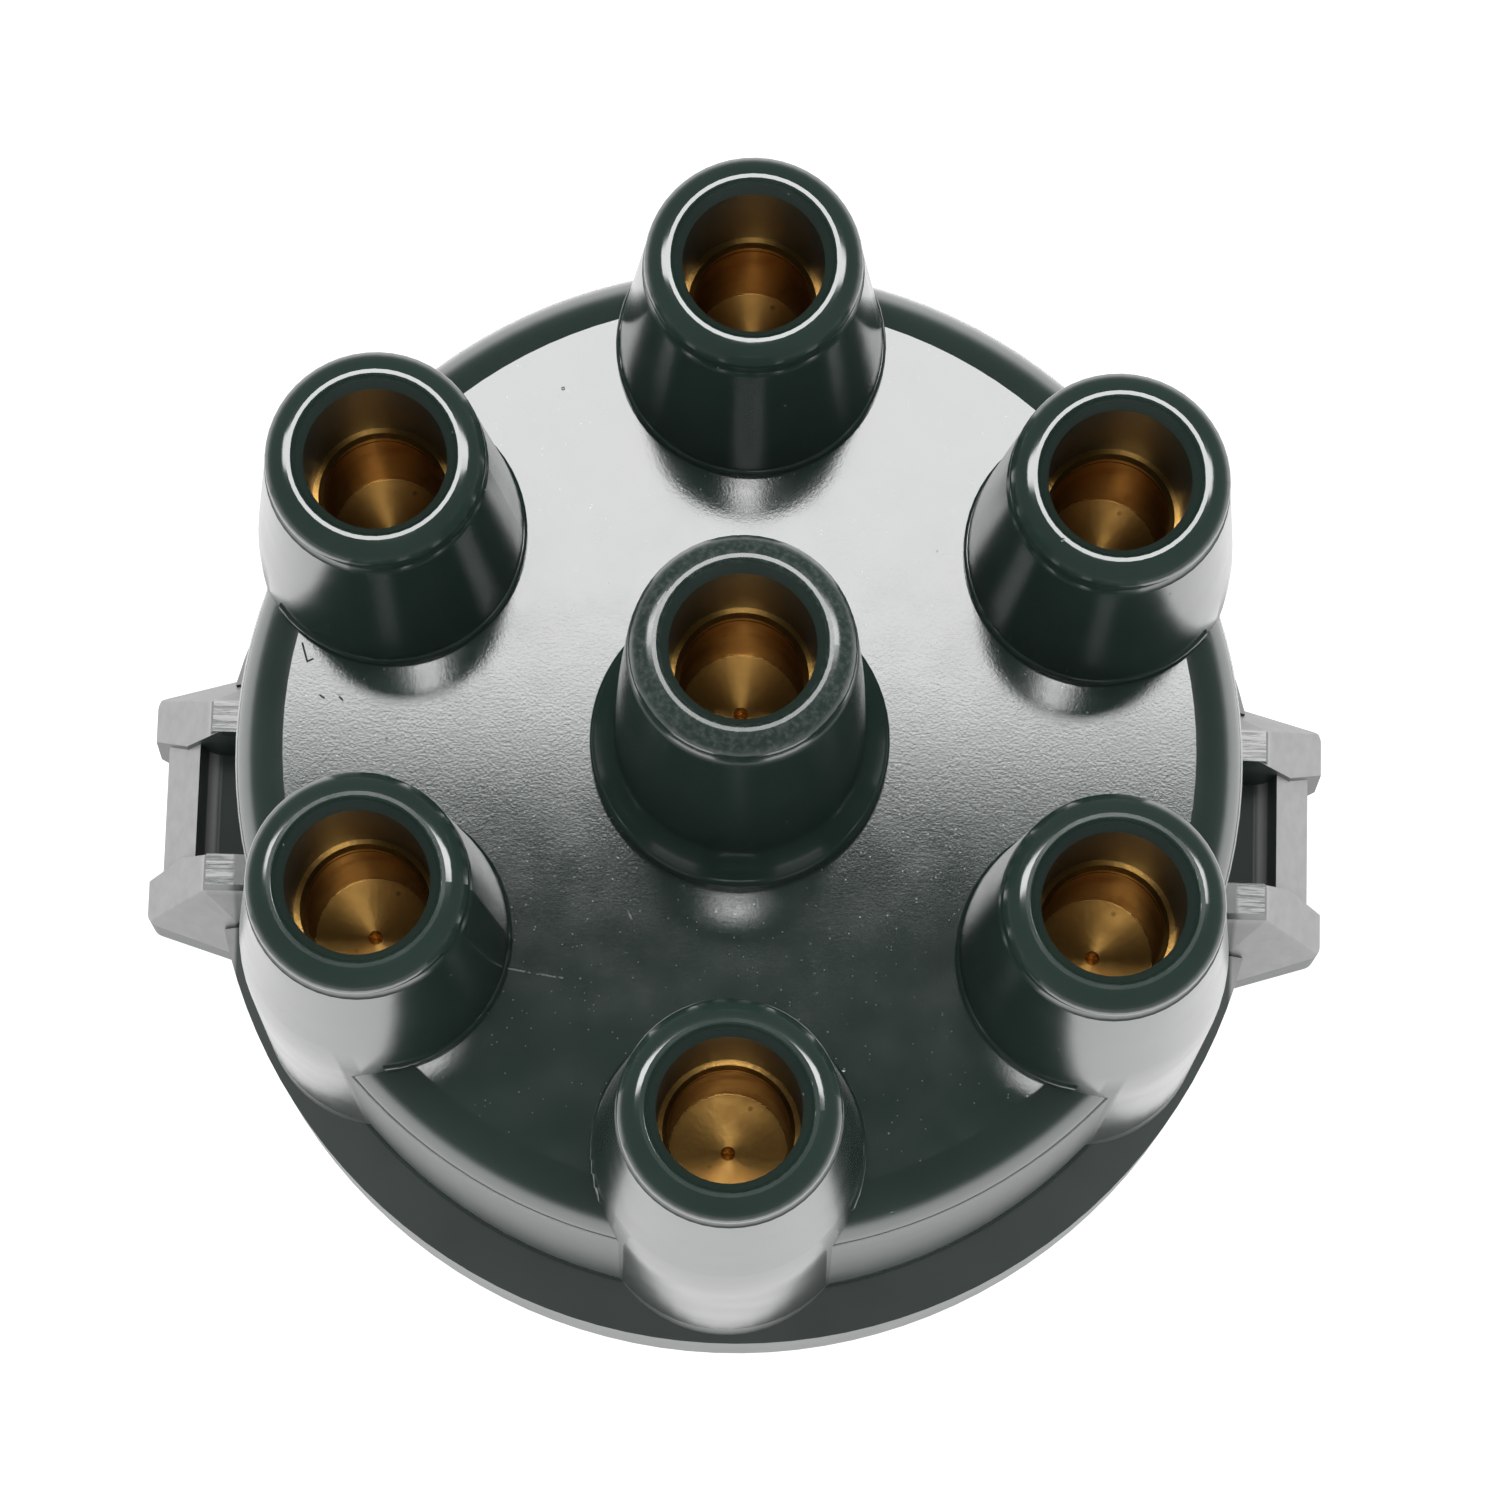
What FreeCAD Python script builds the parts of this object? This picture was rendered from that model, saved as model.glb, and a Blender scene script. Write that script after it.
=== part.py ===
"""Distributor cap for a six-cylinder engine, with push-in lead sockets.

One glossy black moulding carries seven towers, six on a circle and a taller one in the
middle. Each tower holds a turned brass socket. The outer sockets end as electrodes inside
the cap, and a sprung carbon brush slides under the centre one.

Millimetres. Z is the cap's axis and points up out of the towers. The origin is the centre of
the rim's seating plane. X runs through the two lugs for the spring clips.
"""
import FreeCAD, Part
import math
import os
from FreeCAD import Vector

# Skirt and deck
deck_height = 37.0
deck_thickness = 4.5
skirt_foot_radius = 36.0
skirt_draft = 0.2
skirt_wall = 3.0
shoulder_size = 3.5
shoulder_bow = 0.72
parting_step = 0.1
ceiling_fillet = 2.0

# Rim that seats on the distributor body
rim_width = 3.45
rim_draft = 0.1
rim_edge_height = 8.3
flange_rise = 2.9
register_wall = 2.25
register_depth = 4.5
key_width = 6.0
key_depth = 1.2

# Outer towers, which run down the skirt's side as columns
tower_count = 6
tower_inset = 7.0
first_tower_angle = 30.0
tower_height = 21.9
tower_foot_radius = 9.55
tower_neck_radius = 7.6
tower_ease = 4.0
column_draft = 0.4
tower_base_radius = 9.65
tower_base_height = 0.9
tower_base_round = 0.3

# Centre tower
centre_tower_height = 31.95
centre_base_radius = 10.55
centre_base_height = 1.4
centre_base_bow = 0.1
centre_flare_radius = 10.2
centre_flare_foot = 1.9
centre_flare_sag = 0.37
centre_waist_radius = 8.72
centre_waist_height = 5.2
centre_neck_radius = 7.65
barrel_bulge = 0.15

# Lip and mouth, the same on every tower
lip_radius = 7.48
lip_height = 2.4
lip_brow = 0.1
lip_round = 0.2
land_radius = 5.95
neck_height = 0.6
neck_bow = 0.2
bead_setback = 0.06
mouth_radius = 5.68
mouth_edge = 0.12
mouth_edge_bow = 0.03
countersink_depth = 1.2
passage_radius = 4.87
passage_depth = 11.25
centre_passage_depth = 10.85

# Brass sockets
socket_radius = 4.2
socket_depth = 11.5
socket_chamfer = 0.3
socket_groove_depth = 0.15
socket_groove_drop = 0.9
pip_radius = 0.5
head_wall = 1.2
head_floor = 2.0
anchor_groove_depth = 0.5
anchor_groove_width = 1.0
anchor_groove_drops = (3.0, 6.0, 9.0)
shrink_gap = 0.02

# Electrodes and their bosses
shank_radius = 4.2
electrode_drop = 11.5
electrode_chamfer = 0.5
electrode_cut = 0.5
boss_wall = 2.8
boss_drop = 7.0
boss_draft = 0.4

# Carbon brush and its spring
brush_radius = 2.5
brush_clearance = 0.05
brush_body = 13.5
brush_reach = 4.5
brush_crown = 0.8
brush_spigot_radius = 1.2
brush_spigot = 2.0
centre_boss_wall = 4.0
centre_boss_drop = 8.0
spring_wire = 0.45
spring_radius = 2.1
spring_pitch = 1.55
spring_end_gap = 0.05

# Clip lugs
pad_proud = 0.2
pad_rise = 2.5
pad_step = 1.2
pad_taper = 0.25
pad_half_width = 7.2
clip_half_width = 4.65
clip_draft = 0.0875
pocket_floor_height = 7.6
pocket_floor_fall = 0.7
pocket_fillet = 0.8
bar_gap = 0.4
bar_lean = 0.27
bar_thickness = 3.45
bar_drop = 0.9
ear_proud = 1.1
ear_lead_length = 2.75
ear_lead_flare = 1.45
ear_foot_height = 5.5
ear_root_height = 4.7
ear_tip_half_width = 8.6
ear_root_half_width = 10.6
ear_corner = 1.0
ear_edge_round = 0.15
side_slope = 1.73
lug_base_height = 1.0
flange_end_half_width = 9.4

# Lengths that follow from the sizes above
ceiling_height = deck_height - deck_thickness
flange_height = rim_edge_height + flange_rise
parting_height = deck_height - shoulder_size
rim_radius = skirt_foot_radius + rim_width
register_radius = rim_radius - register_wall
tower_circle_radius = skirt_foot_radius - tower_inset
rotor_track_radius = tower_circle_radius - shank_radius + electrode_cut
skirt_top_radius = skirt_foot_radius - skirt_draft
shoulder_outer_radius = skirt_top_radius - parting_step
tower_base_reach = shoulder_outer_radius - shoulder_size / 2
cavity_foot_radius = skirt_foot_radius - skirt_wall
cavity_top_radius = skirt_top_radius - skirt_wall
head_radius = socket_radius + head_wall
boss_radius = shank_radius + boss_wall
brush_bore_radius = brush_radius + brush_clearance
centre_boss_radius = brush_bore_radius + centre_boss_wall
centre_ledge = deck_height + centre_tower_height - centre_passage_depth
centre_terminal_foot = centre_ledge - socket_depth - head_floor
brush_tip = ceiling_height - centre_boss_drop - brush_reach
brush_shoulder = brush_tip + brush_body
lug_root = skirt_foot_radius - skirt_wall / 2
bar_foot = rim_radius + bar_gap
bar_outer = bar_foot + bar_thickness
lug_reach = bar_outer + ear_proud
lead_start = lug_reach - ear_lead_length
pad_reach = rim_radius + pad_proud
pad_top = flange_height + pad_rise
facet_top = pad_top - pad_step

AXIS = Vector(0, 0, 1)
BEYOND = 60.0


def at(radius, height):
    """A point of an outline that is drawn in the XZ plane."""
    return Vector(radius, 0, height)


def bowed(start, end, bow):
    """An arc from start to end whose middle stands off the chord by bow, to its right."""
    chord = end - start
    right = Vector(chord.z, 0, -chord.x).normalize()
    middle = (start + end) * 0.5 + right * bow
    return Part.Arc(start, middle, end).toShape()


def quarter(start, end, centre):
    """A quarter of a circle about centre, the short way round."""
    middle = centre + ((start + end) * 0.5 - centre).normalize() * (start - centre).Length
    return Part.Arc(start, middle, end).toShape()


def rounded(start, corner, end, reach):
    """Two straight runs and the arc that touches both of them at reach from their corner."""
    back = (start - corner).normalize()
    onward = (end - corner).normalize()
    bisector = (back + onward).normalize()
    cosine = back.dot(bisector)
    sine = math.sqrt(1 - cosine ** 2)
    first = corner + back * reach
    middle = corner + bisector * (reach * (1 - sine) / cosine)
    last = corner + onward * reach
    return [
        Part.makeLine(start, first),
        Part.Arc(first, middle, last).toShape(),
        Part.makeLine(last, end),
    ]


def spun(edges, closing):
    """The solid of an outline turned about the Z axis. closing lists its last points."""
    points = [edges[-1].Vertexes[-1].Point] + closing
    lines = [Part.makeLine(a, b) for a, b in zip(points, points[1:])]
    wire = Part.Wire(edges + lines)
    return Part.Face(wire).revolve(Vector(), AXIS, 360)


def turned(points):
    """The solid of a straight-sided outline turned about the Z axis."""
    wire = Part.makePolygon(points + points[:1])
    return Part.Face(wire).revolve(Vector(), AXIS, 360)


def cylinder(radius, bottom, top):
    return Part.makeCylinder(radius, top - bottom, Vector(0, 0, bottom))


def prism(outline, bottom, top):
    """A closed outline in plan, pulled up from bottom to top."""
    points = [Vector(x, y, bottom) for x, y in outline]
    face = Part.Face(Part.makePolygon(points + points[:1]))
    return face.extrude(AXIS * (top - bottom))


def above(point, normal):
    """The half space beyond a plane, as a block that is larger than any lug."""
    block = Part.makeBox(2 * BEYOND, 2 * BEYOND, BEYOND, Vector(-BEYOND, -BEYOND, 0))
    block.Placement = FreeCAD.Placement(point, FreeCAD.Rotation(AXIS, normal))
    return block


def placed(shape, x, y):
    copy = shape.copy()
    copy.translate(Vector(x, y, 0))
    return copy


def round_the_circle(shape):
    """One copy of shape on each tower's axis."""
    copies = []
    for number in range(tower_count):
        angle = math.radians(first_tower_angle + 360.0 / tower_count * number)
        x = tower_circle_radius * math.cos(angle)
        y = tower_circle_radius * math.sin(angle)
        copies.append(placed(shape, x, y))
    return copies


def skirt():
    """Deck, shoulder and side wall as one solid body, with the parting line's small step."""
    foot = at(skirt_foot_radius, 0)
    parting = at(skirt_top_radius, parting_height)
    shoulder_start = at(shoulder_outer_radius, parting_height)
    deck_edge = at(shoulder_outer_radius - shoulder_size, deck_height)
    edges = [
        Part.makeLine(foot, parting),
        Part.makeLine(parting, shoulder_start),
        bowed(shoulder_start, deck_edge, shoulder_bow),
    ]
    return spun(edges, [at(0, deck_height), at(0, 0), foot])


def rim():
    """The thick seating ring, with its sloping flange and without its lug gaps."""
    ring = turned([
        at(0, 0),
        at(rim_radius - rim_draft, 0),
        at(rim_radius, rim_edge_height),
        at(skirt_foot_radius, flange_height),
        at(0, flange_height),
    ])
    gap = Part.makeBox(2 * BEYOND, 2 * flange_end_half_width, BEYOND,
                       Vector(-BEYOND, -flange_end_half_width, lug_base_height))
    return ring.cut(gap)


def cavity():
    """The space inside the cap, with the register that the distributor body enters."""
    register = cylinder(register_radius, -1, register_depth)
    foot = at(cavity_foot_radius, 0)
    wall_top = at(cavity_top_radius, ceiling_height - ceiling_fillet)
    ceiling_edge = at(cavity_top_radius - ceiling_fillet, ceiling_height)
    centre = at(cavity_top_radius - ceiling_fillet, ceiling_height - ceiling_fillet)
    edges = [Part.makeLine(foot, wall_top), quarter(wall_top, ceiling_edge, centre)]
    hollow = spun(edges, [at(0, ceiling_height), at(0, 0), foot])
    key = Part.makeBox(key_width, register_radius + key_depth, register_depth + 1,
                       Vector(-key_width / 2, 0, -1))
    return register.fuse([hollow, key])


def lip(neck_foot, top):
    """The rounded lip's outline, from the hollow neck under its bead up to its flat land."""
    bead_foot = at(lip_radius - bead_setback, top - lip_height + neck_height)
    bead = at(lip_radius, top - 0.6 * lip_height)
    brow = at(lip_radius - lip_brow, top - 0.4 * lip_height)
    land = at(land_radius, top)
    return [
        bowed(neck_foot, bead_foot, -neck_bow),
        Part.Arc(bead_foot, bead, brow).toShape(),
        bowed(brow, land, lip_round),
    ]


def lipped(edges, top):
    """A tower: its own outline, from its foot up to its neck, with the lip on top."""
    foot = edges[0].Vertexes[0].Point
    neck_foot = edges[-1].Vertexes[-1].Point
    return spun(edges + lip(neck_foot, top), [at(0, top), at(0, foot.z), foot])


def outer_tower():
    """A column on the skirt's side that bends in gently at the deck and runs on as a cone."""
    top = deck_height + tower_height
    foot = at(tower_foot_radius + column_draft, lug_base_height)
    bend = at(tower_foot_radius, deck_height)
    neck_foot = at(tower_neck_radius, top - lip_height - neck_height)
    return lipped(rounded(foot, bend, neck_foot, tower_ease), top)


def tower_base():
    """The low ring round an outer tower's foot, with a rounded edge."""
    top = deck_height + tower_base_height
    flat = tower_base_radius - tower_base_round
    root = at(tower_base_radius, ceiling_height)
    side = at(tower_base_radius, top - tower_base_round)
    centre = at(flat, top - tower_base_round)
    edges = [Part.makeLine(root, side), quarter(side, at(flat, top), centre)]
    return spun(edges, [at(0, top), at(0, ceiling_height), root])


def tower_bases():
    """The rings of the outer towers, which end at the shoulder."""
    deck = cylinder(tower_base_reach, ceiling_height, deck_height + tower_height)
    return [ring.common(deck) for ring in round_the_circle(tower_base())]


def centre_tower():
    """The middle tower: a disc with a rounded edge, a flare and a long, slightly full barrel."""
    top = deck_height + centre_tower_height
    foot = at(centre_base_radius, ceiling_height)
    disc_edge = at(centre_base_radius, deck_height + centre_base_height)
    flare = at(centre_flare_radius, deck_height + centre_flare_foot)
    waist = at(centre_waist_radius, deck_height + centre_waist_height)
    neck_foot = at(centre_neck_radius, top - lip_height - neck_height)
    edges = [
        Part.makeLine(foot, disc_edge),
        bowed(disc_edge, flare, centre_base_bow),
        bowed(flare, waist, -centre_flare_sag),
        bowed(waist, neck_foot, barrel_bulge),
    ]
    return lipped(edges, top)


def mouth_cutter(height, depth):
    """The countersunk mouth, with its edge rounded, and the passage to the brass socket."""
    top = deck_height + height
    edge = at(mouth_radius, top)
    inner_edge = at(mouth_radius - mouth_edge, top - mouth_edge)
    return spun([bowed(edge, inner_edge, mouth_edge_bow)], [
        at(passage_radius, top - countersink_depth),
        at(passage_radius, top - depth),
        at(0, top - depth),
        at(0, top + 1),
        at(mouth_radius, top + 1),
        edge,
    ])


def head_outline(ledge, foot, gap):
    """The outside of a socket's head, with its anchor grooves, grown by gap."""
    outer = head_radius + gap
    inner = outer - anchor_groove_depth
    points = [at(0, ledge + gap), at(outer, ledge + gap)]
    for drop in anchor_groove_drops:
        groove_top = ledge - drop - gap
        groove_foot = groove_top - anchor_groove_width + 2 * gap
        points += [at(outer, groove_top), at(inner, groove_top)]
        points += [at(inner, groove_foot), at(outer, groove_foot)]
    points += [at(outer, foot - gap), at(0, foot - gap)]
    return points


def socket_bore(ledge):
    """The bore for the lead's plug: chamfered mouth, one fine groove and a faced floor."""
    floor = ledge - socket_depth
    groove = ledge - socket_groove_drop
    inside = socket_radius + socket_groove_depth
    return turned([
        at(0, ledge + 1),
        at(socket_radius + socket_chamfer, ledge + 1),
        at(socket_radius + socket_chamfer, ledge),
        at(socket_radius, ledge - socket_chamfer),
        at(socket_radius, groove),
        at(inside, groove - socket_groove_depth),
        at(socket_radius, groove - 2 * socket_groove_depth),
        at(socket_radius, floor),
        at(pip_radius, floor),
        at(0, floor - pip_radius),
    ])


def outer_terminal():
    """Socket and electrode, turned in one piece. Its axis is the Z axis."""
    ledge = deck_height + tower_height - passage_depth
    head_foot = ledge - socket_depth - head_floor
    tip = ceiling_height - electrode_drop
    head = turned(head_outline(ledge, head_foot, 0))
    shank = turned([
        at(0, head_foot + head_floor / 2),
        at(shank_radius, head_foot + head_floor / 2),
        at(shank_radius, tip + electrode_chamfer),
        at(shank_radius - electrode_chamfer, tip),
        at(0, tip),
    ])
    return head.fuse(shank).cut(socket_bore(ledge)).removeSplitter()


def outer_terminal_seat():
    """What the outer terminal takes out of the moulding."""
    ledge = deck_height + tower_height - passage_depth
    head_foot = ledge - socket_depth - head_floor
    head = turned(head_outline(ledge, head_foot, shrink_gap))
    return head.fuse(cylinder(shank_radius + shrink_gap, 0, head_foot))


def centre_terminal():
    head = turned(head_outline(centre_ledge, centre_terminal_foot, 0))
    return head.cut(socket_bore(centre_ledge)).removeSplitter()


def boss(radius, drop):
    """A drafted boss that hangs from the ceiling. Its axis is the Z axis."""
    root = ceiling_height + deck_thickness / 2
    foot = ceiling_height - drop
    return turned([
        at(0, root),
        at(radius + boss_draft, root),
        at(radius, foot),
        at(0, foot),
    ])


def ear_planes(side):
    """The three sloping faces of an ear as (point, normal). side is 1 or -1 along Y."""
    pad_corner = Vector(pad_reach, side * pad_half_width, facet_top)
    tip_corner = Vector(lug_reach, side * ear_tip_half_width, ear_foot_height)
    root_corner = Vector(math.sqrt(rim_radius ** 2 - ear_root_half_width ** 2),
                         side * ear_root_half_width, ear_root_height)
    front = Vector(facet_top - ear_foot_height, 0, lug_reach - pad_reach)
    corner = (tip_corner - pad_corner).cross(root_corner - pad_corner) * side
    flank = Vector(0, side * side_slope, 1)
    return [(pad_corner, front), (pad_corner, corner), (pad_corner, flank)]


def pad(side):
    """The low block with sloping sides on top of an ear, next to the skirt."""
    block = Part.makeBox(pad_reach, pad_half_width - clip_half_width, pad_top - lug_base_height,
                         Vector(0, clip_half_width, lug_base_height))
    end = Vector(pad_step, 0, pad_taper)
    flank = Vector(0, pad_step, pad_taper)
    corner = Vector(pad_reach, pad_half_width, facet_top)
    block = block.cut(above(corner, end)).cut(above(corner, flank))
    if side < 0:
        block = block.mirror(Vector(), Vector(0, 1, 0))
    return block


def ear_side(x):
    """Half the lug's width at x, on the line from the ear's root to its tip."""
    root_x = math.sqrt(rim_radius ** 2 - ear_root_half_width ** 2)
    share = (lug_reach - x) / (lug_reach - root_x)
    return ear_tip_half_width + share * (ear_root_half_width - ear_tip_half_width)


def lug():
    """The lug on the +X side: two ears, a bar between them and the clip's pocket behind it."""
    plan = [(lug_root, -ear_side(lug_root)), (lug_reach, -ear_tip_half_width),
            (lug_reach, ear_tip_half_width), (lug_root, ear_side(lug_root))]
    body = prism(plan, lug_base_height, pad_top)
    tips = [edge for edge in body.Edges
            if abs(edge.Length - (pad_top - lug_base_height)) < 1e-6
            and edge.CenterOfMass.x > pad_reach]
    body = body.makeFillet(ear_corner, tips)
    for side in (1, -1):
        for point, normal in ear_planes(side):
            body = body.cut(above(point, normal))
    body = body.cut(clip_way())
    body = body.makeFillet(ear_edge_round, ear_edges(body))
    return body.fuse([pad(1).cut(ear_gap()), pad(-1).cut(ear_gap())])


def ear_edges(body):
    """The long edges of the ears and the bar that a hand would feel."""
    return [edge for edge in body.Edges
            if edge.CenterOfMass.x > pad_reach + ear_corner
            and edge.BoundBox.ZMin > ear_root_height
            and edge.Length > 2 * ear_corner]


def ear_gap():
    """The space between the ears. Its sides have draft and open out in front as a lead-in."""
    beyond = lug_reach + ear_lead_length
    outlines = []
    for height in (0, pad_top + 1):
        half = clip_half_width - clip_draft * (pad_top - height)
        wide = half + 2 * ear_lead_flare
        points = [Vector(lug_root, -half, height), Vector(lead_start, -half, height),
                  Vector(beyond, -wide, height), Vector(beyond, wide, height),
                  Vector(lead_start, half, height), Vector(lug_root, half, height)]
        outlines.append(Part.makePolygon(points + points[:1]))
    return Part.makeLoft(outlines, True, True)


def clip_way():
    """What is cut between the ears: above the bar, in front of it and the pocket behind it."""
    slope = Vector(facet_top - ear_foot_height, 0, lug_reach - pad_reach)
    over_bar = above(Vector(pad_reach, 0, facet_top - bar_drop), slope)
    before_bar = above(Vector(bar_outer, 0, 0), Vector(1, 0, 0))
    return ear_gap().common(over_bar.fuse([before_bar, clip_pocket()]))


def clip_pocket():
    """The channel behind the bar for the clip's hook. Its floor falls towards the skirt."""
    top = pad_top + 1
    floor_start = at(lug_root, pocket_floor_height - pocket_floor_fall)
    corner = at(bar_foot, pocket_floor_height)
    wall_top = at(bar_foot + bar_lean * (top - pocket_floor_height), top)
    back_top = at(lug_root, top)
    edges = rounded(floor_start, corner, wall_top, pocket_fillet)
    edges += [Part.makeLine(wall_top, back_top), Part.makeLine(back_top, floor_start)]
    channel = Part.Face(Part.Wire(edges)).extrude(Vector(0, 4 * clip_half_width, 0))
    channel.translate(Vector(0, -2 * clip_half_width, 0))
    return channel


def cap_moulding():
    """The whole black moulding, with its bores and the seats of the brass pieces."""
    right_lug = lug()
    left_lug = right_lug.mirror(Vector(), Vector(1, 0, 0))
    outside = rim().fuse([right_lug, left_lug])
    towers = [centre_tower()] + round_the_circle(outer_tower()) + tower_bases()
    outside = outside.fuse([skirt()] + towers)
    shell = outside.cut(cavity())
    bosses = round_the_circle(boss(boss_radius, boss_drop))
    shell = shell.fuse(bosses + [boss(centre_boss_radius, centre_boss_drop)])
    cutters = round_the_circle(mouth_cutter(tower_height, passage_depth))
    cutters += round_the_circle(outer_terminal_seat())
    cutters.append(mouth_cutter(centre_tower_height, centre_passage_depth))
    cutters.append(turned(head_outline(centre_ledge, centre_terminal_foot, shrink_gap)))
    cutters.append(cylinder(brush_bore_radius, 0, centre_terminal_foot))
    return shell.cut(cutters).removeSplitter()


def outer_terminals():
    """The six outer terminals, each with the face that the rotor arm passes bored in it."""
    track = cylinder(rotor_track_radius, 0, ceiling_height - boss_drop)
    return [piece.cut(track) for piece in round_the_circle(outer_terminal())]


def carbon_brush():
    """The round carbon contact, with a spigot for the spring and a crowned tip."""
    crown_edge = at(brush_radius, brush_tip + brush_crown)
    tip = at(0, brush_tip)
    edges = [bowed(tip, crown_edge, brush_crown / 3)]
    spigot_top = brush_shoulder + brush_spigot
    return spun(edges, [
        at(brush_radius, brush_shoulder),
        at(brush_spigot_radius, brush_shoulder),
        at(brush_spigot_radius, spigot_top),
        at(0, spigot_top),
        tip,
    ])


def brush_spring():
    """The coil spring between the brush's shoulder and the centre terminal."""
    low = brush_shoulder + spring_wire / 2 + spring_end_gap
    high = centre_terminal_foot - spring_wire / 2 - spring_end_gap
    coil_radius = spring_radius - spring_wire / 2
    path = Part.makeHelix(spring_pitch, high - low, coil_radius)
    path.translate(Vector(0, 0, low))
    section = Part.Wire(Part.makeCircle(spring_wire / 2, Vector(coil_radius, 0, low),
                                        Vector(0, 1, 0)))
    return path.makePipeShell([section], True, True)


def main():
    os.makedirs("parts", exist_ok=True)
    nodes = {
        "cap_moulding": cap_moulding(),
        "centre_terminal": centre_terminal(),
        "carbon_brush": carbon_brush(),
        "brush_spring": brush_spring(),
    }
    for number, piece in enumerate(outer_terminals(), 1):
        nodes["terminal_%d" % number] = piece
    for name, shape in nodes.items():
        solid = shape.Solids[0]
        solid.exportStep("parts/%s.step" % name)
        print(name, len(shape.Solids), shape.isValid(), round(solid.Volume, 1))


main()
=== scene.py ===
import math
import bpy
from mathutils import Matrix, Vector


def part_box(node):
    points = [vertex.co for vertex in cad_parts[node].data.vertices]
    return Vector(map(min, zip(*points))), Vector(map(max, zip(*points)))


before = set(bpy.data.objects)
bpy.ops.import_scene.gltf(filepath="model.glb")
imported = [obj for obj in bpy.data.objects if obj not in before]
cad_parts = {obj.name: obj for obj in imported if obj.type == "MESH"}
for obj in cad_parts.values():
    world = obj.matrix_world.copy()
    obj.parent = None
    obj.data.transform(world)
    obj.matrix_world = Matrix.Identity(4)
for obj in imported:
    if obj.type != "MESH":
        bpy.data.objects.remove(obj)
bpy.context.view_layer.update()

# Camera, solved from the photograph's circles
camera_place = Vector((-0.000310, -0.080243, 0.419417))
camera_aim = Vector((0.000739, -0.000470, 0.037000))
camera_roll = math.radians(2.385)
sensor_width = 36.0
focal_length = 133.08
near_clip = 0.01
far_clip = 20.0

# Studio
lamp_distance = 1.0
softbox_tilt = math.radians(18.0)
softbox_depth = 0.22
softbox_width = 1.3
softbox_power = 4.0
top_lamp_tilt = math.radians(-2.0)
top_lamp_size = 0.08
top_lamp_power = 0.3
room_fill = 0.8
floor_size = 6.0
floor_near = 0.12
floor_far = 0.35
floor_level = 1.0
floor_gap = 0.00005
paper_grey = 0.8
shadow_grey = 0.3
room_glow = [(0.0, 0.12), (0.3, 0.06), (1.0, 0.03)]

# Object
deck_height = 0.037
wall_radius = 0.0356
wall_inside = 0.0004
wall_outside = 0.0005
lug_start = 0.0372
lug_top = 0.0148
pad_height = 0.0137
tower_circle = 0.029
tower_step = math.radians(60.0)
passage_edge = 0.0054
lip_edge = 0.0074
lip_foot = 0.0575
centre_lip_foot = 0.0660
rim_top = 0.0125
parting_height = 0.0335
pocket_start = 0.0360
pocket_end = 0.0402
pocket_half = 0.0045
pocket_top = 0.0100
ledge_start = 0.0041
parting_half = 0.0002
deck_half = 0.0003
socket_nodes = ["centre_terminal"] + ["terminal_%d" % number for number in range(1, 7)]

# Masks: the lengths over which they fade
edge = 0.0001
blend = 0.0002
lug_blend = 0.0003
lug_top_blend = 0.0006
rim_blend = 0.0005
pad_low = 0.0006
pad_full = 0.0003
line_core = 0.4
dot_core = 0.5

# Masks: how far up a face points, where the mask starts and where it is full
flat_facing = (0.985, 0.995)
side_facing = (0.10, 0.05)
pocket_facing = (0.3, 0.4)
pocket_floor_facing = (0.975, 0.985)
ledge_facing = (0.90, 0.95)
socket_floor_facing = (0.5, 0.9)

# Masks: the least and the most that a face points up
pocket_foot_facing = (0.66, 0.90)
slope_facing = (0.30, 0.90)
facing_blend = 0.05

# Plastic
plastic_ior = 2.3
plastic_dark = (0.022, 0.042, 0.034, 1)
plastic_light = (0.028, 0.052, 0.042, 1)
nick_dark = (0.004, 0.006, 0.005, 1)
# Pale greys: the first is only painted sheen on the lug slopes; the second is painted sheen and painted
# highlight, and also pale wear and filed marks
painted_sheen_dim = (0.30, 0.305, 0.30, 1)
pale_wear_and_painted_highlight = (0.36, 0.365, 0.36, 1)
speck_colour = (0.28, 0.29, 0.28, 1)
peel_height = 0.0000015
grain_height = 0.0000030
pit_depth = 0.00002
mark_depth = 0.000016
scratch_width = 0.00008
cloud_scale = 120.0
# Size of the mottle in the painted sheen on the lug slopes
painted_sheen_scale = 900.0
rub_scale = 4200.0
rub_stretch = (0.08, 1.0, 1.0)
wear_scale = 2600.0
wear_most = 0.12
break_scale = 1800.0
peel_scale = 700.0
grain_scale = 5500.0
gloss_scale = 300.0
gloss_least = 0.17
gloss_most = 0.20
roughness_over = {"deck": -0.09, "lip": -0.06, "centre_lip": 0.08, "wall": 0.20, "rim": 0.20,
                  "passage": 0.19, "lug": 0.08, "pocket_floor": 0.40, "nicks": 0.70}
lip_nick = ((-0.0056, 0.0024), (-0.0051, 0.0032))
deck_nicks = [
    ((-0.0311, 0.0063), (-0.0307, 0.0050)),
    ((-0.0307, 0.0050), (-0.0303, 0.0052)),
    ((-0.0297, 0.0026), (-0.0294, 0.0024)),
    ((-0.0283, 0.0025), (-0.0281, 0.0023)),
]
deck_scratches = [
    ((-0.0160, -0.0165), (-0.0135, -0.0169)),
    ((-0.0135, -0.0169), (-0.0119, -0.0171)),
    ((-0.0075, -0.0122), (-0.0068, -0.0136)),
]

# Plastic: the part of each noise's range that is used
cloud_range = (0.3, 0.7)
filed_range = (0.42, 0.56)
wear_range = (0.42, 0.68)
break_range = (0.42, 0.52)
gloss_range = (0.35, 0.75)

# Specks: the cells in a metre, a dot's radius in cells, the share of cells with a dot
share_blend = 0.01
dust_specks = [(420.0, 0.05, 0.06), (900.0, 0.09, 0.03)]
fine_specks = [(1500.0, 0.11, 0.14), (3000.0, 0.17, 0.12)]
pit_specks = (520.0, 0.07, 0.10)
stain_specks = (700.0, 0.22, 0.10)

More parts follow.
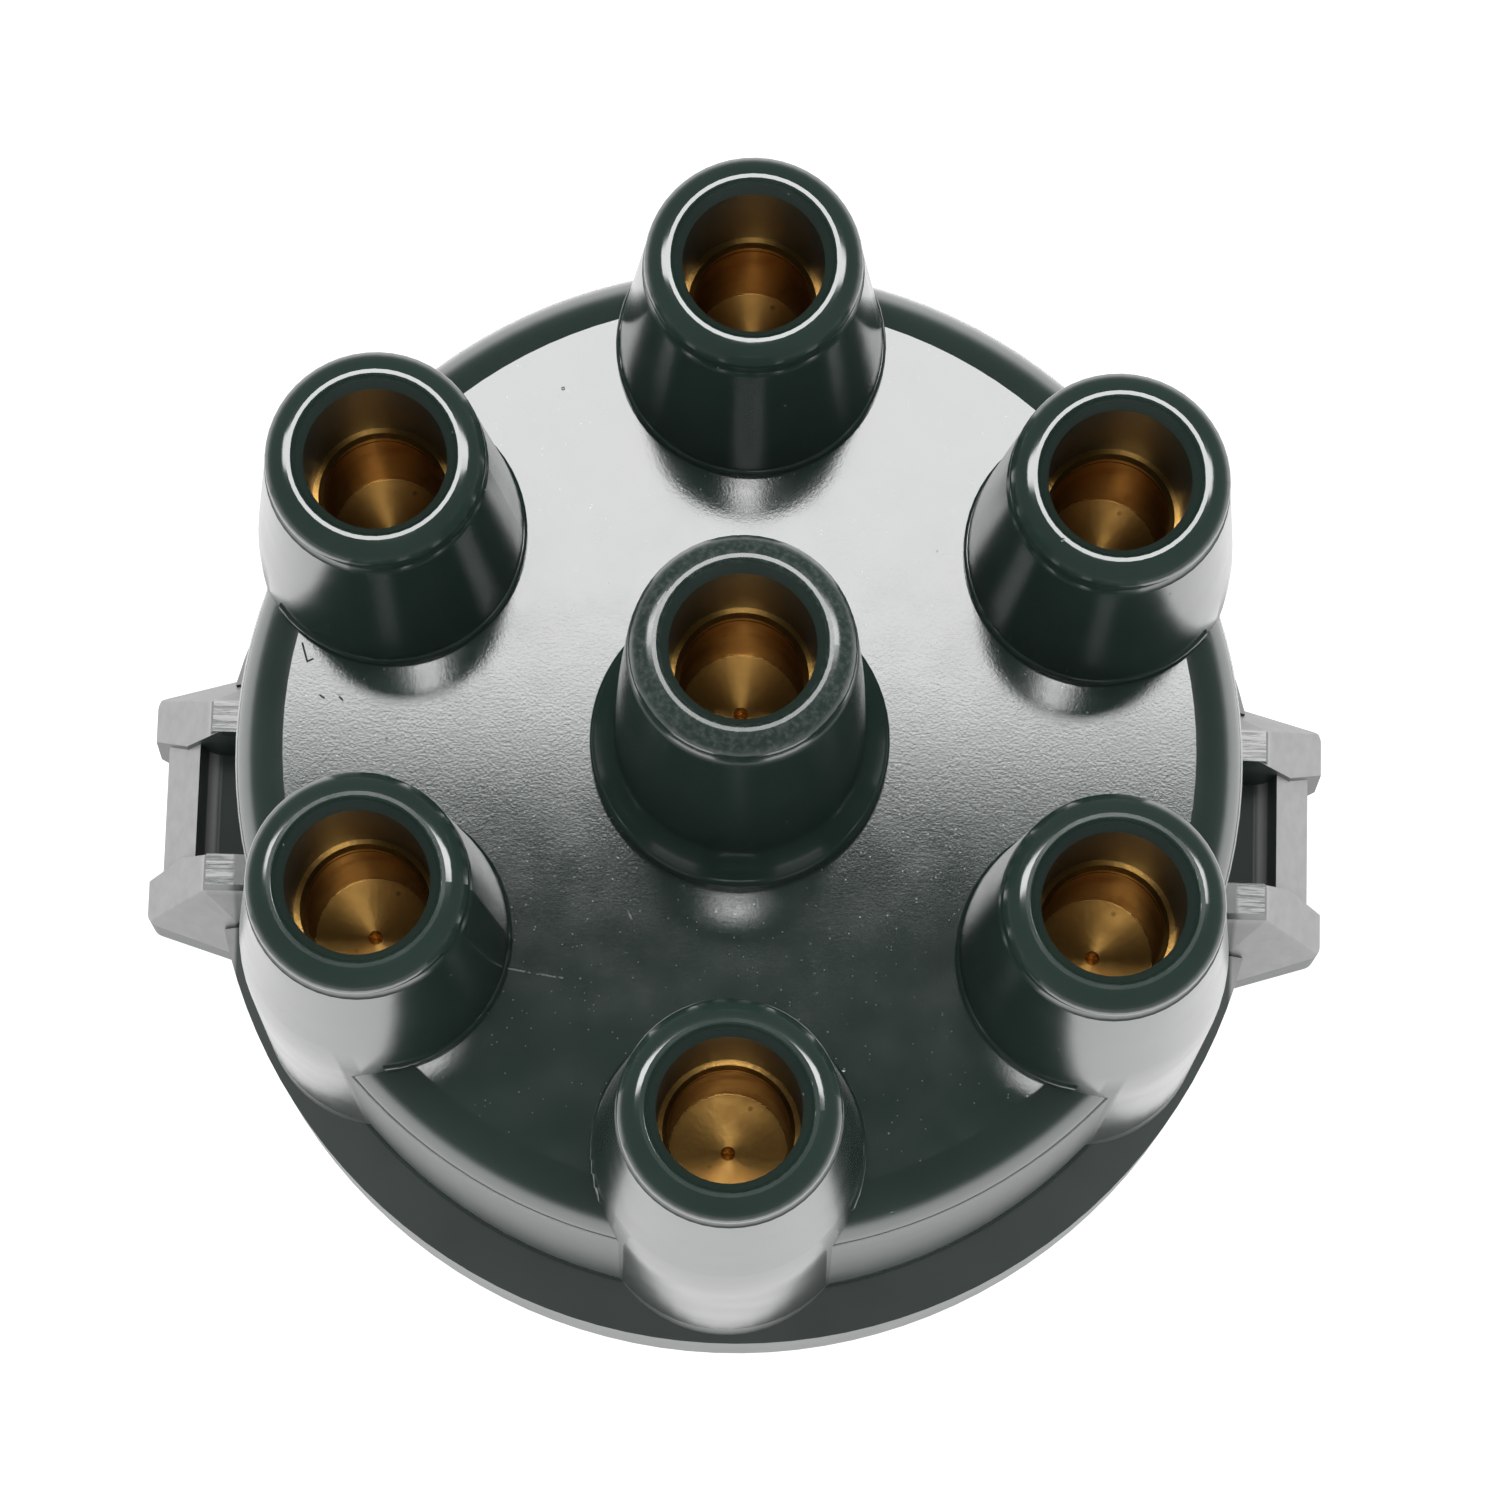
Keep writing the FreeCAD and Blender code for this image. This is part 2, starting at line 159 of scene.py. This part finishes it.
# Brass
brass_bright = (0.74, 0.43, 0.12, 1)
brass_dull = (0.58, 0.32, 0.09, 1)
brass_red = (0.26, 0.13, 0.055, 1)
brass_stain = (0.10, 0.045, 0.015, 1)
ring_depth = 0.000006
ring_scale = 5200.0
ripple_scale = 2600.0
patch_scale = 420.0
wall_red = 0.7
stain_strength = 0.8
floor_crown = -0.04
floor_dull = 0.12
brass_gloss = (0.18, 0.26)
patch_range = (0.35, 0.70)
brass_spread = 0.9

# Brush and spring
carbon_dark = (0.012, 0.012, 0.013, 1)
carbon_light = (0.05, 0.05, 0.052, 1)
carbon_scale = 5200.0
carbon_grain = 0.00001
carbon_rub = 0.000006
carbon_stretch = (1.0, 1.0, 0.06)
carbon_gloss = (0.38, 0.6)
steel_bright = (0.56, 0.55, 0.53, 1)
steel_brown = (0.36, 0.31, 0.25, 1)
steel_patch = 900.0
steel_scale = 9000.0
steel_depth = 0.000003
steel_gloss = (0.22, 0.4)


class Nodes:
    """A short way to write a material's node tree."""

    def __init__(self, tree):
        self.tree = tree
        tree.nodes.clear()

    def add(self, kind, inputs=None, **settings):
        node = self.tree.nodes.new(kind)
        for key, value in settings.items():
            setattr(node, key, value)
        for key, value in (inputs or {}).items():
            if isinstance(value, bpy.types.NodeSocket):
                self.tree.links.new(value, node.inputs[key])
            else:
                node.inputs[key].default_value = value
        return node

    def math(self, operation, *values):
        node = self.add("ShaderNodeMath", dict(enumerate(values)), operation=operation)
        return node.outputs[0]

    def vector(self, operation, *values):
        node = self.add("ShaderNodeVectorMath", dict(enumerate(values)), operation=operation)
        return node.outputs[0]

    def ramp(self, factor, stops):
        node = self.add("ShaderNodeValToRGB", {"Fac": factor})
        points = node.color_ramp.elements
        points[0].position, points[0].color = stops[0]
        points[1].position, points[1].color = stops[-1]
        for position, colour in stops[1:-1]:
            points.new(position).color = colour
        return node.outputs["Color"]

    def level(self, factor, low, high, start=0.0, end=1.0):
        """factor from low..high mapped to start..end, held outside."""
        node = self.add("ShaderNodeMapRange", {
            "Value": factor, "From Min": low, "From Max": high, "To Min": start, "To Max": end})
        return node.outputs["Result"]

    def noise(self, place, scale, detail=2.0, roughness=0.5):
        node = self.add("ShaderNodeTexNoise", {
            "Vector": place, "Scale": scale, "Detail": detail, "Roughness": roughness})
        return node.outputs["Fac"]

    def mix(self, factor, first, second):
        node = self.add("ShaderNodeMix", data_type="RGBA")
        for socket, value in zip((0, 6, 7), (factor, first, second)):
            if isinstance(value, bpy.types.NodeSocket):
                self.tree.links.new(value, node.inputs[socket])
            else:
                node.inputs[socket].default_value = value
        return node.outputs[2]

    def relief(self, *parts):
        """A normal from the sum of several patterns, each with its depth in metres."""
        height = 0.0
        for pattern, depth in parts:
            height = self.math("MULTIPLY_ADD", pattern, depth, height)
        node = self.add("ShaderNodeBump", {"Height": height, "Strength": 1.0, "Distance": 1.0})
        return node.outputs["Normal"]

    def surface(self, shader):
        self.add("ShaderNodeOutputMaterial", {"Surface": shader})


def grey(value):
    return (value, value, value, 1.0)


def new_material(name):
    material = bpy.data.materials.new(name)
    material.use_nodes = True
    return material, Nodes(material.node_tree)


def place_of(n):
    return n.add("ShaderNodeTexCoord").outputs["Object"]


def split(n, vector):
    return n.add("ShaderNodeSeparateXYZ", {0: vector}).outputs


def both(n, *masks):
    """Where every mask is 1."""
    result = masks[0]
    for mask in masks[1:]:
        result = n.math("MULTIPLY", result, mask)
    return result


def within(n, value, low, high, soft):
    """1 where value lies between low and high, with soft edges."""
    return both(n, n.level(value, low - soft, low + soft), n.level(value, high + soft, high - soft))


def line_mask(n, place, start, end, width):
    """1 on a straight scratch of the deck between two points in plan."""
    along = Vector((end[0] - start[0], end[1] - start[1], 0))
    flat = n.vector("MULTIPLY", place, (1, 1, 0))
    offset = n.vector("SUBTRACT", flat, (start[0], start[1], 0))
    dot = n.add("ShaderNodeVectorMath", {0: offset, 1: along / along.length_squared},
                operation="DOT_PRODUCT").outputs["Value"]
    share = n.level(dot, 0.0, 1.0)
    scale = n.add("ShaderNodeVectorMath", {0: along, "Scale": share}, operation="SCALE").outputs[0]
    gap = n.add("ShaderNodeVectorMath", {0: offset, 1: scale}, operation="DISTANCE")
    return n.level(gap.outputs["Value"], width, width * line_core)


def line_masks(n, place, lines):
    """1 on any of several straight scratches."""
    result = 0.0
    for start, end in lines:
        result = n.math("MAXIMUM", result, line_mask(n, place, start, end, scratch_width))
    return result


def specks(n, place, scale, size, share):
    """Round dots, at most one in a cell, in a share of the cells."""
    cell = n.add("ShaderNodeTexVoronoi", {"Vector": place, "Scale": scale, "Randomness": 1.0})
    chosen = n.level(split(n, cell.outputs["Color"])["X"], share + share_blend, share)
    dot = n.level(cell.outputs["Distance"], size, size * dot_core)
    return both(n, chosen, dot)


def all_specks(n, place, groups):
    """1 on the dots of any of several groups."""
    result = 0.0
    for scale, size, share in groups:
        result = n.math("MAXIMUM", result, specks(n, place, scale, size, share))
    return result


def tower_distance(n, x, y, radius):
    """How far a point is in plan from the axis of the nearest tower."""
    angle = n.math("ARCTAN2", y, x)
    turn = n.math("SUBTRACT", n.math("WRAP", angle, tower_step, 0.0), tower_step / 2)
    along = n.math("SUBTRACT", n.math("MULTIPLY", radius, n.math("COSINE", turn)), tower_circle)
    across = n.math("MULTIPLY", radius, n.math("SINE", turn))
    gap = n.add("ShaderNodeCombineXYZ", {"X": along, "Y": across}).outputs[0]
    outer = n.add("ShaderNodeVectorMath", {0: gap}, operation="LENGTH").outputs["Value"]
    return n.math("MINIMUM", outer, radius)


def plastic_masks(n, place):
    """Where the plastic's different faces are, each as a value from 0 to 1."""
    x, y, z = split(n, place)
    facing = split(n, n.add("ShaderNodeNewGeometry").outputs["Normal"])["Z"]
    out = n.math("ABSOLUTE", x)
    plan = n.vector("MULTIPLY", place, (1, 1, 0))
    radius = n.add("ShaderNodeVectorMath", {0: plan}, operation="LENGTH").outputs["Value"]
    nearest = tower_distance(n, x, y, radius)
    level = n.level(facing, *flat_facing)
    lug = both(n, n.level(out, lug_start, lug_start + lug_blend),
               n.level(z, lug_top, lug_top - lug_top_blend))
    side = n.level(facing, *side_facing)
    lip = both(n, within(n, nearest, passage_edge, lip_edge, edge),
               n.level(z, lip_foot, lip_foot + blend))
    pocket = both(n, within(n, out, pocket_start, pocket_end, edge),
                  n.level(z, pocket_top, pocket_top - blend), n.level(facing, *pocket_facing),
                  n.level(n.math("ABSOLUTE", y), pocket_half + edge, pocket_half))
    deck_level = both(n, level, within(n, z, deck_height - deck_half, deck_height + deck_half, edge))
    return {
        "deck": deck_level,
        "wall": both(n, side, within(n, radius, wall_radius - wall_inside, wall_radius + wall_outside, edge)),
        "passage": n.level(nearest, passage_edge + edge, passage_edge - edge),
        "lip": lip,
        "centre_lip": both(n, lip, n.level(z, centre_lip_foot, centre_lip_foot + blend)),
        "rim": both(n, n.level(radius, wall_radius + wall_outside, wall_radius + wall_outside + blend),
                    n.level(z, rim_top, rim_top - rim_blend)),
        "pocket_floor": both(n, pocket, n.level(facing, *pocket_floor_facing)),
        "pocket_foot": both(n, pocket, within(n, facing, *pocket_foot_facing, facing_blend)),
        "parting": both(n, n.level(facing, *ledge_facing), n.level(radius, wall_radius, wall_radius + edge),
                        within(n, z, parting_height - parting_half, parting_height + parting_half, edge)),
        "lug": lug,
        "nicks": both(n, deck_level, line_masks(n, place, deck_nicks)),
        "pads": both(n, lug, level, n.level(z, pad_height - pad_low, pad_height - pad_full)),
        "slopes": both(n, lug, within(n, facing, *slope_facing, facing_blend)),
    }


def rub_marks(n, place):
    """Fine lines along X, as a file leaves them."""
    return n.noise(n.vector("MULTIPLY", place, rub_stretch), rub_scale, 3.0)


def plastic_colour(n, place, masks):
    """Black with a green cast, worn pale on the centre lip and filed pale on the lug pads, with specks and
    scratches. Painted sheen on the lug slopes, painted shade on the pocket floors, and painted highlights on
    the pocket fillets and the parting ledge.
    """
    cloud = n.level(n.noise(place, cloud_scale, 4.0), *cloud_range)
    colour = n.mix(cloud, plastic_dark, plastic_light)
    painted_sheen = n.mix(n.level(n.noise(place, painted_sheen_scale, 3.0), *cloud_range), painted_sheen_dim, pale_wear_and_painted_highlight)
    # Painted sheen: the lug's sloping faces are made pale grey because of which way they face
    colour = n.mix(masks["slopes"], colour, painted_sheen)
    # Painted shade: the floors of the lug pockets are set to the plain dark colour
    colour = n.mix(masks["pocket_floor"], colour, plastic_dark)
    # Painted highlights: the pocket fillets and the upward ledge at the parting line are made pale grey
    colour = n.mix(n.math("MAXIMUM", masks["pocket_foot"], masks["parting"]), colour, pale_wear_and_painted_highlight)
    filed = both(n, masks["pads"], n.level(rub_marks(n, place), *filed_range))
    colour = n.mix(filed, colour, pale_wear_and_painted_highlight)
    wear = n.level(n.noise(place, wear_scale, 3.0), *wear_range, 0.0, wear_most)
    worn = both(n, masks["centre_lip"], wear)
    colour = n.mix(worn, colour, pale_wear_and_painted_highlight)
    colour = n.mix(masks["nicks"], colour, nick_dark)
    fine = both(n, masks["deck"], all_specks(n, place, fine_specks))
    broken = n.level(n.noise(place, break_scale, 2.0), *break_range)
    scratches = both(n, line_masks(n, place, deck_scratches), masks["deck"], broken)
    nick = both(n, line_masks(n, place, [lip_nick]), masks["centre_lip"])
    pale = all_specks(n, place, dust_specks)
    for mask in (fine, scratches, nick):
        pale = n.math("MAXIMUM", pale, mask)
    return n.mix(pale, colour, speck_colour)


def plastic_normal(n, place, masks):
    """A slight orange peel everywhere, grain and pits on the deck, tool marks on the pads."""
    off_deck = n.level(masks["deck"], 0.0, 1.0, 1.0, 0.0)
    peel = n.math("MULTIPLY", n.noise(place, peel_scale, 2.0), off_deck)
    grain = n.math("MULTIPLY", n.noise(place, grain_scale, 2.5, 0.6), masks["deck"])
    pits = specks(n, place, *pit_specks)
    marks = n.math("MULTIPLY", rub_marks(n, place), masks["pads"])
    return n.relief((peel, peel_height), (grain, grain_height), (pits, -pit_depth), (marks, mark_depth))


def plastic_roughness(n, place, masks):
    """Smooth where the mould was polished, duller where the part is handled or hidden."""
    roughness = n.level(n.noise(place, gloss_scale, 3.0), *gloss_range, gloss_least, gloss_most)
    for name, more in roughness_over.items():
        roughness = n.math("ADD", roughness, n.math("MULTIPLY", masks[name], more))
    return roughness


def plastic_material():
    """Glossy black thermoset, with a grained deck."""
    material, n = new_material("black_plastic")
    place = place_of(n)
    masks = plastic_masks(n, place)
    shader = n.add("ShaderNodeBsdfPrincipled", {
        "Base Color": plastic_colour(n, place, masks),
        "Roughness": plastic_roughness(n, place, masks),
        "Normal": plastic_normal(n, place, masks),
        "IOR": plastic_ior})
    n.surface(shader.outputs[0])
    return material


def brass_material(node):
    """Turned brass, with tool rings about the socket's own axis."""
    material, n = new_material("brass_" + node)
    low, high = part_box(node)
    axis = Vector(((low[0] + high[0]) / 2, (low[1] + high[1]) / 2, 0))
    local = n.vector("SUBTRACT", place_of(n), tuple(axis))
    x, y, z = split(n, local)
    plan = n.vector("MULTIPLY", local, (1, 1, 0))
    radius = n.add("ShaderNodeVectorMath", {0: plan}, operation="LENGTH").outputs["Value"]
    swirl = n.add("ShaderNodeCombineXYZ", {"X": radius, "Y": 0.0, "Z": z}).outputs[0]
    rings = n.noise(swirl, ring_scale, 3.0, 0.65)
    patch = n.level(n.noise(local, patch_scale, 4.0), *patch_range)
    normal = n.add("ShaderNodeNewGeometry").outputs["Normal"]
    flat = n.level(split(n, normal)["Z"], *socket_floor_facing)
    colour = n.mix(patch, brass_bright, brass_dull)
    colour = n.mix(n.level(flat, 0.0, 1.0, wall_red, 0.0), colour, brass_red)
    stain = n.math("MULTIPLY", specks(n, local, *stain_specks), stain_strength)
    colour = n.mix(stain, colour, brass_stain)
    around = n.vector("CROSS_PRODUCT", (0, 0, 1), plan)
    tangent = n.vector("CROSS_PRODUCT", around, normal)
    reach = n.math("MINIMUM", radius, ledge_start)
    crown = n.math("MULTIPLY", n.math("MULTIPLY", reach, floor_crown), flat)
    floor = both(n, flat, n.level(radius, ledge_start + edge, ledge_start))
    ripple = n.noise(local, ripple_scale, 2.0)
    gloss = n.level(patch, 0.0, 1.0, *brass_gloss)
    shader = n.add("ShaderNodeBsdfPrincipled", {
        "Base Color": colour,
        "Metallic": 1.0,
        "Roughness": n.math("ADD", gloss, n.math("MULTIPLY", floor, floor_dull)),
        "Anisotropic": brass_spread,
        "Normal": n.relief((crown, 1.0), (rings, ring_depth), (ripple, ring_depth)),
        "Tangent": n.vector("NORMALIZE", tangent)})
    n.surface(shader.outputs[0])
    return material


def carbon_material():
    """Pressed carbon: dull, finely grained, with lengthwise rub marks."""
    material, n = new_material("carbon")
    place = place_of(n)
    grain = n.noise(place, carbon_scale, 3.0, 0.6)
    rub = n.noise(n.vector("MULTIPLY", place, carbon_stretch), rub_scale, 2.0)
    shader = n.add("ShaderNodeBsdfPrincipled", {
        "Base Color": n.mix(n.level(grain, *patch_range), carbon_dark, carbon_light),
        "Roughness": n.level(rub, *cloud_range, *carbon_gloss),
        "Normal": n.relief((grain, carbon_grain), (rub, carbon_rub))})
    n.surface(shader.outputs[0])
    return material


def spring_material():
    """Drawn spring wire: bright steel with a brown tinge in patches."""
    material, n = new_material("spring_steel")
    place = place_of(n)
    patch = n.level(n.noise(place, steel_patch, 3.0), *patch_range)
    fine = n.noise(place, steel_scale, 2.0)
    shader = n.add("ShaderNodeBsdfPrincipled", {
        "Base Color": n.mix(patch, steel_bright, steel_brown),
        "Metallic": 1.0,
        "Roughness": n.level(patch, 0.0, 1.0, *steel_gloss),
        "Normal": n.relief((fine, steel_depth))})
    n.surface(shader.outputs[0])
    return material


def floor_material():
    """White paper with a faint shadow. A gloss shows only its middle, as in a dark room."""
    material, n = new_material("floor")
    ray = n.add("ShaderNodeLightPath").outputs
    direct = n.math("MAXIMUM", ray["Is Camera Ray"], ray["Is Transmission Ray"])
    seen = n.math("MAXIMUM", direct, ray["Is Glossy Ray"])
    place = n.add("ShaderNodeNewGeometry").outputs["Position"]
    reach = n.add("ShaderNodeVectorMath", {0: place}, operation="LENGTH").outputs["Value"]
    glow = n.math("MAXIMUM", direct, n.level(reach, floor_near, floor_far, 1.0, 0.0))
    paper = n.add("ShaderNodeBsdfDiffuse", {"Color": grey(paper_grey)}).outputs[0]
    faint = n.add("ShaderNodeBsdfDiffuse", {"Color": grey(shadow_grey)}).outputs[0]
    white = n.add("ShaderNodeEmission", {"Color": glow, "Strength": floor_level}).outputs[0]
    shown = n.add("ShaderNodeAddShader", {0: faint, 1: white}).outputs[0]
    n.surface(n.add("ShaderNodeMixShader", {0: seen, 1: paper, 2: shown}).outputs[0])
    return material


def make_floor():
    bpy.ops.mesh.primitive_plane_add(size=floor_size, location=(0, 0, -floor_gap))
    floor = bpy.context.active_object
    floor.name = "floor"
    floor.data.materials.append(floor_material())


def make_world():
    """A dark room above the floor, white where the camera sees it."""
    world = bpy.data.worlds.new("studio")
    bpy.context.scene.world = world
    world.use_nodes = True
    n = Nodes(world.node_tree)
    direction = n.add("ShaderNodeTexCoord").outputs["Generated"]
    rise = n.add("ShaderNodeSeparateXYZ", {0: direction}).outputs["Z"]
    glow = n.ramp(rise, [(height, grey(value)) for height, value in room_glow])
    ray = n.add("ShaderNodeLightPath").outputs
    soft = n.mix(ray["Is Diffuse Ray"], glow, grey(room_fill))
    colour = n.mix(ray["Is Camera Ray"], soft, grey(1.0))
    background = n.add("ShaderNodeBackground", {"Color": colour, "Strength": 1.0})
    n.add("ShaderNodeOutputWorld", {"Surface": background.outputs[0]})


def make_lamp(name, tilt, width, depth, power):
    """A soft light above the object, tilted to the back or the front and aimed at the deck."""
    lamp = bpy.data.lights.new(name, "AREA")
    lamp.shape = "RECTANGLE"
    lamp.size = width
    lamp.size_y = depth
    lamp.energy = power
    box = bpy.data.objects.new(name, lamp)
    bpy.context.scene.collection.objects.link(box)
    way = Vector((0, math.sin(tilt), math.cos(tilt)))
    box.location = Vector((0, 0, deck_height)) + way * lamp_distance
    box.rotation_euler = way.to_track_quat("Z", "Y").to_euler()
    box.visible_camera = False


def make_camera():
    data = bpy.data.cameras.new("camera")
    data.sensor_width = sensor_width
    data.lens = focal_length
    data.clip_start = near_clip
    data.clip_end = far_clip
    camera = bpy.data.objects.new("camera", data)
    bpy.context.scene.collection.objects.link(camera)
    back = (camera_place - camera_aim).normalized()
    right = Vector((-back.y, back.x, 0)).normalized()
    up = back.cross(right)
    across = right * math.cos(camera_roll) + up * math.sin(camera_roll)
    upright = up * math.cos(camera_roll) - right * math.sin(camera_roll)
    turn = Matrix((across, upright, back)).transposed()
    camera.matrix_world = Matrix.Translation(camera_place) @ turn.to_4x4()
    bpy.context.scene.camera = camera


def dress(node, material):
    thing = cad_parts[node]
    thing.data.materials.clear()
    thing.data.materials.append(material)


make_world()
make_lamp("softbox", softbox_tilt, softbox_width, softbox_depth, softbox_power)
make_lamp("top_lamp", top_lamp_tilt, top_lamp_size, top_lamp_size, top_lamp_power)
make_floor()
make_camera()
dress("cap_moulding", plastic_material())
for name in socket_nodes:
    dress(name, brass_material(name))
dress("carbon_brush", carbon_material())
dress("brush_spring", spring_material())
bpy.context.scene.view_settings.view_transform = "Standard"
